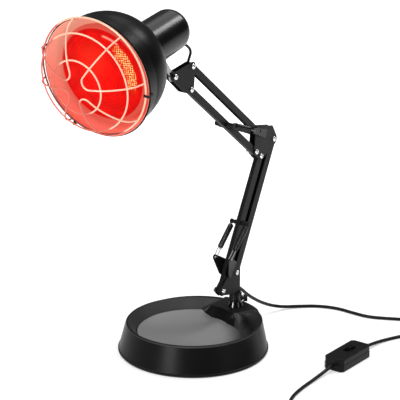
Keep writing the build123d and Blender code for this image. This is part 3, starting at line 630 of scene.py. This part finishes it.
leadSet = {
    "radius": 0.0017,
    "route": millimetres([
        (-66.5, -25.8, 427.3), (-63.0, -25.8, 426.2), (-55.0, -25.8, 423.8),
        (-40.8, -24.8, 413.8), (-42.8, -22.3, 402.8), (-45.3, -20.8, 394.8),
    ]),
}


def lineOf(route):
    # the points of the route's own smooth spline
    guide = curvePiece("guide", route, 0.0, None, "cord_black")
    line = bpy.data.meshes.new_from_object(guide)
    points = [vertex.co.copy() for vertex in line.vertices]
    bpy.data.objects.remove(guide)
    bpy.data.meshes.remove(line)
    return points


def bentCord(name, route, radius, node):
    # a cord across a joint: a tube over its own spline
    line = lineOf(route)
    tube = curvePiece(name + "Tube", route, radius, None, "cord_black")
    mesh = bpy.data.meshes.new_from_object(tube)
    bpy.data.objects.remove(tube)
    mesh.name = name
    cord = bpy.data.objects.new(name, mesh)
    scene.collection.objects.link(cord)
    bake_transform(cord)
    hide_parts(node)
    return cord, line


headLead, leadLine = bentCord(
    "headLead", leadSet["route"], leadSet["radius"], "head_lead"
)
2 * leadSet["radius"]
lampCord, lampLine = bentCord(
    "lampCord", cordSet["lampRoute"], cordSet["radius"], "lamp_cord"
)

tieSet = {
    "angle": 62.0,
    "radius": 0.0280,
    "half": (0.0092, 0.0073),
    "roundness": 0.55,  # an ellipse at 1, and squarer below it
    "width": 0.005,
    "thick": 0.0007,
    "middle": 0.0075,
}


def addTie(settings):
    # a soft strap round the coil's turns
    bm = bmesh.new()
    loop = bmesh.ops.create_circle(bm, segments=28, radius=1.0)["verts"]
    for vert in loop:
        for part in (0, 1):
            side = math.copysign(abs(vert.co[part]) ** settings["roundness"], vert.co[part])
            vert.co[part] = side * settings["half"][part]
    grown = bmesh.ops.extrude_edge_only(bm, edges=bm.edges[:])["geom"]
    bmesh.ops.translate(bm, verts=ofKind(bmesh.types.BMVert, grown), vec=(0, 0, settings["width"]))
    bmesh.ops.recalc_face_normals(bm, faces=bm.faces[:])
    bmesh.ops.solidify(bm, geom=bm.faces[:], thickness=settings["thick"])
    bmesh.ops.translate(bm, verts=bm.verts[:], vec=(0, 0, -settings["width"] / 2))
    angle = math.radians(settings["angle"])
    outward = Vector((math.cos(angle), math.sin(angle), 0))
    turn = Matrix((outward, Vector((0, 0, 1)), outward.cross(Vector((0, 0, 1))))).transposed().to_4x4()
    spot = Vector((*cordSet["coilCentre"], settings["middle"])) + outward * settings["radius"]
    bmesh.ops.transform(bm, matrix=Matrix.Translation(spot) @ turn, verts=bm.verts[:])
    return addPiece("coilTie", closed(bm), "base", ["nylon"])


coilTie = addTie(tieSet)

plugSet = {
    "place": (-0.203, -0.190, 0.0085),
    "half": (0.012, 0.0085),
    "length": 0.036,
    "rounding": (0.004, 0.0011),  # of the long edges and of the ends
    "gripCuts": (0.006, 0.0068, 0.0102, 0.011, 0.0144, 0.0152, 0.0186, 0.0194),
    "grips": (0.0068, 0.011, 0.0152),  # where each grip step starts
    "gripLength": 0.0035,
    "gripWaist": (0.93, 0.955),
    "tail": 0.022,
    "tailStart": [(0.0024, 0.0), (0.0036, 0.0)],  # radius, and height above the tail's free end
    "tailEnd": [(0.0062, -0.0006), (0.0066, 0.0012), (0.001, 0.0013)],  # and above the body's end
    "ribs": 6,
    "ribFirst": (0.0038, 0.0008),  # radius, and distance from the tail's end
    "ribGain": (0.00034, 0.0034),  # what each rib adds to them
    "ribForm": [(0.0, 0.0), (0.0001, 0.0021), (-0.0007, 0.0023), (-0.0006, 0.0032)],
}


def tailProfile(settings):
    # radius and height, from the cord up to the plug's body
    end = -settings["tail"]
    profile = [(radius, end + height) for radius, height in settings["tailStart"]]
    (firstRadius, first), (wider, pitch) = settings["ribFirst"], settings["ribGain"]
    for rib in range(settings["ribs"]):
        start = end + first + rib * pitch
        radius = firstRadius + rib * wider
        profile += [(radius + out, start + up) for out, up in settings["ribForm"]]
    return profile + settings["tailEnd"]


def addPlug(settings):
    # moulded body with grip steps, and a ribbed strain relief
    bm = bmesh.new()
    bmesh.ops.create_cube(bm, size=1.0)
    halfWide, halfHigh = settings["half"]
    bmesh.ops.scale(bm, vec=(2 * halfWide, settings["length"], 2 * halfHigh), verts=bm.verts[:])
    bmesh.ops.translate(bm, verts=bm.verts[:], vec=(0, settings["length"] / 2, 0))
    around = [e for e in bm.edges if abs((e.verts[0].co - e.verts[1].co).normalized().y) > 0.9]
    sides, ends = settings["rounding"]
    bmesh.ops.bevel(bm, geom=around, offset=sides, affect="EDGES", segments=5, profile=0.5, material=-1)
    for face in [f for f in bm.faces if abs(f.normal.y) > 0.9]:
        rim = list(face.edges)
        bmesh.ops.bevel(bm, geom=rim, offset=ends, affect="EDGES", segments=3, profile=0.5, material=-1)
    for cut in settings["gripCuts"]:
        whole = bm.verts[:] + bm.edges[:] + bm.faces[:]
        bmesh.ops.bisect_plane(bm, geom=whole, plane_co=(0, cut, 0), plane_no=(0, 1, 0))
    for low in settings["grips"]:
        for vert in bm.verts:
            if low - 0.0001 < vert.co.y < low + settings["gripLength"]:
                vert.co.x *= settings["gripWaist"][0]
                vert.co.z *= settings["gripWaist"][1]
    tail = spun(bmesh.new(), tailProfile(settings), 28)
    bmesh.ops.rotate(tail, cent=(0, 0, 0), matrix=Matrix.Rotation(-math.pi / 2, 3, "X"), verts=tail.verts[:])
    joinMesh(bm, tail)
    bmesh.ops.translate(bm, verts=bm.verts[:], vec=settings["place"])
    return addPiece("plugBody", bm, "base", ["switch_black"], ["plug"])


def joinMesh(bm, other, place=None, slot=None):
    # adds a copy of another bmesh, moved to its place
    mesh = bpy.data.meshes.new("part")
    other.to_mesh(mesh)
    other.free()
    if place is not None:
        mesh.transform(place)
    if slot is not None:
        mesh.polygons.foreach_set("material_index", [slot] * len(mesh.polygons))
    bm.from_mesh(mesh)
    bpy.data.meshes.remove(mesh)


def lengthOf(line):
    return round(sum((b - a).length for a, b in zip(line, line[1:])), 3)


plugBody = addPlug(plugSet)
print("cords: lamp", lengthOf(lampLine), "mains", lengthOf(lineOf(mainsPoints)))

# base

flankSet = {
    "post": -16.0,  # direction of the post from the base's centre
    "corner": (56.0, 22.4),  # the boss's near front corner: radius, and degrees from the post's direction
    "rim": (86.8, 21.0, 80.0),  # the rim's inner edge, from the boss to where the flank runs out
    "cornerFoot": (50.6, 19.6),
    "foot": (75.0, 84.0),
    "footCurve": 1.1,
    "heights": (0.0259, 0.0419, 0.0393),  # of the foot, the boss's edge and the rim
    "turnAt": 0.42,  # share of the length at which the upper edge comes to the rim
    "settle": 4,  # over a quarter of what is left it takes on the rim's height
    "swell": (0.42, 0.7),  # how far the flank bulges at the boss, and how that dies away
    "steps": (48, 16),
}


def flankSpot(settings, radius, angle, height):
    turn = math.radians(settings["post"] - angle)
    return Vector((radius / 1000 * math.cos(turn), radius / 1000 * math.sin(turn), height))


def addFlank(settings):
    # the boss's near flank sweeps smoothly into the rim
    radius, angle = settings["corner"]
    rim, start, stop = settings["rim"]
    low, top, edge = settings["heights"]
    (nearRadius, nearAngle), (farRadius, farAngle) = settings["cornerFoot"], settings["foot"]
    turnAt, (swell, fade) = settings["turnAt"], settings["swell"]
    bm = bmesh.new()
    bmesh.ops.create_grid(bm, x_segments=settings["steps"][0], y_segments=settings["steps"][1], size=0.5)
    for vert in bm.verts:
        along, up = vert.co.x + 0.5, vert.co.y + 0.5
        out, beyond = min(along / turnAt, 1.0), max(along - turnAt, 0.0) / (1 - turnAt)
        reach = radius + (rim - radius) * out
        swing = angle + (start - angle) * out + (stop - start) * beyond
        upper = flankSpot(settings, reach, swing, top + (edge - top) * min(beyond * settings["settle"], 1.0))
        reach = nearRadius + (farRadius - nearRadius) * along ** settings["footCurve"]
        lower = flankSpot(settings, reach, nearAngle + (farAngle - nearAngle) * along, low)
        place = lower.lerp(upper, up)
        place.z = low + (upper.z - low) * (up + swell * math.sin(math.pi * up) * (1 - along) ** fade)
        vert.co = place
    bmesh.ops.recalc_face_normals(bm, faces=bm.faces[:])
    if sum(face.normal.z for face in bm.faces) < 0:
        bmesh.ops.reverse_faces(bm, faces=bm.faces[:])
    return addPiece("bossFlank", bm, "base", ["base_plastic"])


addFlank(flankSet)
print("flank laid")

# springs


class Bender:
    # bends one wire: the section is pushed straight on or swung round an axis

    def __init__(self, radius, sides, start, heading):
        self.bm = bmesh.new()
        place = Matrix.Translation(start) @ Vector(heading).to_track_quat("Z", "Y").to_matrix().to_4x4()
        bmesh.ops.create_circle(self.bm, segments=sides, radius=radius, matrix=place, cap_ends=True)
        self.rim = self.bm.edges[:]
        self.at, self.heading = Vector(start), Vector(heading).normalized()

    def straight(self, length):
        grown = bmesh.ops.extrude_edge_only(self.bm, edges=self.rim)["geom"]
        verts = ofKind(bmesh.types.BMVert, grown)
        bmesh.ops.translate(self.bm, verts=verts, vec=self.heading * length)
        edges = ofKind(bmesh.types.BMEdge, grown)
        self.rim = [edge for edge in edges if edge.verts[0] in verts and edge.verts[1] in verts]
        self.at += self.heading * length

    def swing(self, centre, axis, angle, steps, rise=(0, 0, 0)):
        spin = bmesh.ops.spin(
            self.bm, geom=self.rim, cent=centre, axis=axis, dvec=Vector(rise) / steps,
            angle=angle, steps=steps, use_duplicate=False,
        )
        self.rim = ofKind(bmesh.types.BMEdge, spin["geom_last"])
        turn = Matrix.Rotation(angle, 3, Vector(axis))
        self.at = Vector(centre) + turn @ (self.at - Vector(centre)) + Vector(rise)
        self.heading = turn @ self.heading

    def turn(self, radius, axis, angle, steps):
        # a bend of that radius towards the side that the axis turns the heading to
        centre = self.at + Vector(axis).cross(self.heading).normalized() * radius
        self.swing(centre, axis, angle, steps)

    def finish(self):
        bmesh.ops.edgeloop_fill(self.bm, edges=self.rim)
        return closed(self.bm)


springSet = {
    "wire": 0.00052,
    "link": 0.0006,
    "sides": 8,
    "ring": 0.0026,  # the hook's own radius round the stud
    "ringGap": (1.2, 0.35),  # radians that it leaves open, each way from the run
    "bend": 0.0012,
    "sweep": 135,  # degrees that the wire runs round before the turns of the coil
    "turnSteps": 16,
    "eye": 0.0022,
    "eyePast": 0.0004,  # how far the link's eye reaches past the anchor
    "linkInside": 1.2,  # millimetres of the link inside the coil
    "aside": 0.0115,  # from the arm's plane
    "pitch": 0.00112,
}
lowerSprings = {"hook": (83.8, 156.4), "anchor": (39.0, 118.6), "lead": 5.5, "coil": 37.5, "radius": 0.0028}
upperSprings = {"hook": (44.64, 300.91), "anchor": (98.0, 282.0), "lead": 4.8, "coil": 37.0, "radius": 0.0033}


def springMesh(settings, coil, lead, body):
    # lies along X from the stud at the origin to the anchor's hole
    ring, bend = settings["ring"], settings["bend"]
    opening, gap = settings["ringGap"]
    start = (ring * math.cos(opening), 0, ring * math.sin(opening))
    bender = Bender(settings["wire"], settings["sides"], start, (-math.sin(opening), 0, math.cos(opening)))
    bender.swing((0, 0, 0), (0, -1, 0), 2 * math.pi - opening - gap, 22)
    bender.turn(bend, (0, 1, 0), math.atan2(bender.heading.z, bender.heading.x), 5)
    bender.straight(max(lead - bender.at.x - bend, 0.0003))
    bender.turn((coil - bender.at.z) * 0.5, (0, -1, 0), math.pi / 2, 6)
    bender.turn(bender.at.z, (-1, 0, 0), math.radians(settings["sweep"]), 7)
    turns = round(body / settings["pitch"])
    steps = settings["turnSteps"] * turns
    bender.swing((bender.at.x, 0, 0), (-1, 0, 0), 2 * math.pi * turns, steps, (body - 0.001, 0, 0))
    bender.turn(bend, (0, bender.heading.z, -bender.heading.y), -math.pi / 2, 5)
    bender.straight(0.0004)
    return bender.finish()


def addSpring(name, node, hook, side, settings):
    # it runs from its anchor on the bracket to the stud on the bar
    bm = bmesh.new()
    anchor, lead, coilLength = settings["anchor"], settings["lead"], settings["coil"]
    run = Vector((anchor[0] - hook[0], 0, anchor[1] - hook[1])) / 1000
    joinMesh(bm, springMesh(springSet, settings["radius"], lead / 1000, coilLength / 1000))
    eye, start = springSet["eye"], (lead + coilLength - springSet["linkInside"]) / 1000
    stop = run.length + springSet["eyePast"]
    link = Bender(springSet["link"], springSet["sides"], (start, eye, 0), (1, 0, 0))
    link.straight(stop - start - eye)
    link.turn(eye, (0, 0, -1), math.pi, 10)
    link.straight(stop - start - eye)
    joinMesh(bm, link.finish(), slot=1)
    across = Vector((0, 1, 0))
    along = run.normalized()
    turn = Matrix((along, across, along.cross(across))).transposed().to_4x4()
    spot = (hook[0] / 1000, armY + side * springSet["aside"], hook[1] / 1000)
    place = Matrix.Translation(spot) @ turn
    bmesh.ops.transform(bm, matrix=place, verts=bm.verts[:])
    spring = addPiece(name, bm, None, ["spring_steel", "bright_steel"], [node])
    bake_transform(spring)


def springPairs():
    # the hooks are read from the studs, so that they follow the frame
    stages = (
        ("lower", ("turret", "lower_front"), lowerSprings),
        ("upper", ("elbow", "upper_low"), upperSprings),
    )
    for title, bodies, settings in stages:
        low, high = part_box(f"{title}_stud")
        hook = ((low.x + high.x) * 500, (low.z + high.z) * 500)
        for word, side in (("near", -1), ("far", 1)):
            addSpring(f"{title}Spring{word.title()}", f"{title}_spring_{word}", hook, side, settings)


springPairs()
print("springs wound")

# bolts

boltSet = {
    "head": 0.0036,
    "crown": 0.0023,
    "crownShares": (0.42, 0.58),  # of its straight side and of its dome
    "domeSteps": 8,
    "shank": 0.00198,
    "thread": (0.0052, 0.0056, 0.0007, 0.0003),  # the shank's end, the first groove, pitch and depth
    "outer": 0.0045,  # outside of the bracket plates, from the arm plane
    "short": 0.0097,  # end of the thread on the far side
    "long": 0.0107,  # and at the elbow, where the nuts are taller
    "slot": (0.00095, 0.0036, 0.0017),  # cross recess: width, length, depth
    "taper": 0.45,
    "turns": [12, 57, 33, 8, 71, 40, 22, 64],
}


def boltMesh(settings, reach):
    # lies along Z, with the head's top at the low end
    head, crown, shank = settings["head"], settings["crown"], settings["shank"]
    straight, dome = settings["crownShares"]
    shankEnd, height, pitch, depth = settings["thread"]
    under = -settings["outer"]
    profile = [(0.00001, under - crown)]
    for step in range(1, settings["domeSteps"] + 1):
        angle = math.radians(step * 90 / settings["domeSteps"])
        level = under - crown * straight - crown * dome * math.cos(angle)
        profile.append((head * math.sin(angle) ** 0.8, level))
    profile += [(head, under - 0.0001), (head - 0.0001, under), (shank, under), (shank, shankEnd)]
    while height < reach - 0.0008:
        profile += [(shank - depth, height), (shank, height + depth)]
        height += pitch
    profile += [(shank - depth, reach - depth), (shank - 0.0007, reach), (0.00001, reach)]
    bm = bmesh.new()
    return spun(bm, profile, 28)


def crossMesh(settings):
    # tapered cross that the recess is cut with
    wide, long, deep = settings["slot"]
    bm = bmesh.new()
    top = -settings["outer"] - settings["crown"] - 0.0004
    for turn in (0, 1):
        cube = bmesh.ops.create_cube(bm, size=1.0)["verts"]
        bmesh.ops.scale(bm, vec=(long, wide, deep), verts=cube)
        bmesh.ops.translate(bm, vec=(0, 0, top + deep / 2 + 0.0001 * turn), verts=cube)
        deepest = max(v.co.z for v in cube)
        for vert in cube:
            if vert.co.z > deepest - 0.0001:
                vert.co.x *= settings["taper"]
        bmesh.ops.rotate(bm, cent=(0, 0, 0), matrix=Matrix.Rotation(turn * math.pi / 2, 3, "Z"), verts=cube)
    bmesh.ops.recalc_face_normals(bm, faces=bm.faces[:])
    return bm


def recessedBolt(settings, reach):
    blank = objectFrom("boltBlank", boltMesh(settings, reach))
    cutter = objectFrom("boltCutter", crossMesh(settings))
    cut = blank.modifiers.new("recess", "BOOLEAN")
    cut.operation, cut.object, cut.solver, cut.use_self = "DIFFERENCE", cutter, "EXACT", True
    bpy.context.view_layer.update()
    mesh = bpy.data.meshes.new_from_object(blank.evaluated_get(bpy.context.evaluated_depsgraph_get()))
    bpy.data.objects.remove(blank)
    bpy.data.objects.remove(cutter)
    return mesh


def addBolts(name, node, body, spots, first, reach):
    bm = bmesh.new()
    boltForm = recessedBolt(boltSet, reach)
    for index, (x, z) in enumerate(spots):
        form = bmesh.new()
        form.from_mesh(boltForm)
        # the bolt's own Z lies along +Y, so its head faces the near side
        turned = Matrix.Rotation(math.radians(boltSet["turns"][first + index]), 4, "Z")
        lie = Matrix.Rotation(-math.pi / 2, 4, "X") @ turned
        joinMesh(bm, form, Matrix.Translation((x / 1000, armY, z / 1000)) @ lie)
    addPiece(name, bm, body, ["nickel_bolts"], [node], 30)


baseSpots = [(34.1, 75.1), (67.8, 91.2)]
elbowSpots = [(128.18, 239.37), (161.88, 255.47), (116.18, 247.97)]
headSpots = [(-41.54, 364.67), (-38.04, 393.27), (-76.94, 387.37)]
addBolts("baseBolts", "base_bolts", "turret", baseSpots, 0, boltSet["short"])
addBolts("elbowBolts", "elbow_bolts", "elbow", elbowSpots, 2, boltSet["long"])
addBolts("headBolts", "head_bolts", "head_bracket", headSpots, 5, boltSet["short"])
print("bolts turned")

# stage and light

stageSet = {
    "size": 12.0,
    "paper": 0.60,
    "lift": 0.50,  # what the paper shows beside the light that falls on it
    "liftFar": 1.0,
    "reach": (0.30, 1.2),  # where the lift grows, from the lamp's foot
    "dark": 0.02,  # the room
    "bright": 0.12,  # the sweep behind the lamp
    "sweep": (0.1, 0.8),  # where it brightens, as cosines from straight behind
    "aim": (0, 0, 0.22),  # what the panels point at
}
panels = [
    {"name": "keyPanel", "azimuth": 177, "height": 8, "distance": 2.3, "size": (0.6, 0.5), "power": 33},
    {"name": "nearPanel", "azimuth": -94, "height": 11, "distance": 2.3, "size": (0.4, 0.5), "power": 4},
    {"name": "sidePanel", "azimuth": -24, "height": 46, "distance": 2.3, "size": (0.5, 0.55), "power": 20},
    {"name": "topPanel", "azimuth": 60, "height": 86, "distance": 2.2, "size": (3.4, 3.4), "power": 78},
]


def addFloor(settings):
    bm = bmesh.new()
    bmesh.ops.create_grid(bm, x_segments=1, y_segments=1, size=settings["size"])
    floor = objectFrom("floor", bm)
    finish = Finish("floorPaper")
    tree = finish.tree
    paper = tree.nodes.new("ShaderNodeBsdfDiffuse")
    paper.inputs["Color"].default_value = (settings["paper"],) * 3 + (1,)
    seen = finish.make("ShaderNodeLightPath", out="Is Camera Ray")
    for ray in ("Is Glossy Ray", "Is Transmission Ray"):
        seen = seen + finish.make("ShaderNodeLightPath", out=ray)
    away = finish.vectors("LENGTH", {0: finish.place}, "Value")
    lift = settings["lift"] + finish.ease(away, *settings["reach"]) * (settings["liftFar"] - settings["lift"])
    glow, total = tree.nodes.new("ShaderNodeEmission"), tree.nodes.new("ShaderNodeAddShader")
    finish.plug(glow.inputs["Strength"], lift * finish.math("MINIMUM", seen, 1.0))
    tree.links.new(paper.outputs[0], total.inputs[0])
    tree.links.new(glow.outputs[0], total.inputs[1])
    output = next(node for node in tree.nodes if node.type == "OUTPUT_MATERIAL")
    tree.links.new(total.outputs[0], output.inputs["Surface"])
    floor.data.materials.append(finish.material)


def addWorld(settings):
    # a studio: pale sweep on the far side, a dark room on the near side
    world = bpy.data.worlds.new("studio")
    scene.world = world
    world.use_nodes = True
    tree = world.node_tree
    tree.nodes.clear()
    output, sky = tree.nodes.new("ShaderNodeOutputWorld"), tree.nodes.new("ShaderNodeBackground")
    place, split = tree.nodes.new("ShaderNodeTexCoord"), tree.nodes.new("ShaderNodeVectorMath")
    split.operation = "DOT_PRODUCT"
    azimuth = math.radians(cameraSet["azimuth"])
    split.inputs[1].default_value = (-math.sin(azimuth), math.cos(azimuth), 0.0)
    ramp = tree.nodes.new("ShaderNodeMapRange")
    ramp.interpolation_type = "SMOOTHSTEP"
    limits = {"From": settings["sweep"], "To": (settings["dark"], settings["bright"])}
    for title, (least, most) in limits.items():
        ramp.inputs[f"{title} Min"].default_value = least
        ramp.inputs[f"{title} Max"].default_value = most
    tree.links.new(place.outputs["Generated"], split.inputs[0])
    tree.links.new(split.outputs["Value"], ramp.inputs["Value"])
    tree.links.new(ramp.outputs[0], sky.inputs["Strength"])
    sky.inputs["Color"].default_value = (1, 1, 1, 1)
    tree.links.new(sky.outputs[0], output.inputs["Surface"])


def addPanel(settings):
    # azimuth from +X towards +Y, height in degrees above the floor
    data = bpy.data.lights.new(settings["name"], "AREA")
    data.shape = "RECTANGLE"
    data.size, data.size_y = settings["size"]
    data.energy = settings["power"]
    panel = bpy.data.objects.new(settings["name"], data)
    scene.collection.objects.link(panel)
    azimuth, height = math.radians(settings["azimuth"]), math.radians(settings["height"])
    level = math.cos(height)
    way = Vector((math.cos(azimuth) * level, math.sin(azimuth) * level, math.sin(height)))
    panel.location = Vector(stageSet["aim"]) + way * settings["distance"]
    panel.rotation_euler = (-way).to_track_quat("-Z", "Y").to_euler()
    panel.visible_camera = False


lampLightSet = {
    "power": 0.10,
    "size": 0.02,
    "colour": (1.0, 0.05, 0.03),
    "before": 0.008,  # in front of the shade's rim
}


def addLampLight(settings):
    # the lamp's own light on the guard and in the shade
    data = bpy.data.lights.new("lampLight", "POINT")
    data.energy, data.shadow_soft_size, data.color = settings["power"], settings["size"], settings["colour"]
    light = bpy.data.objects.new("lampLight", data)
    scene.collection.objects.link(light)
    light.location = headOrigin - headBack * settings["before"]


addFloor(stageSet)
addWorld(stageSet)
for settings in panels:
    addPanel(settings)
addLampLight(lampLightSet)
scene.view_settings.view_transform = "Standard"
print("stage lit")
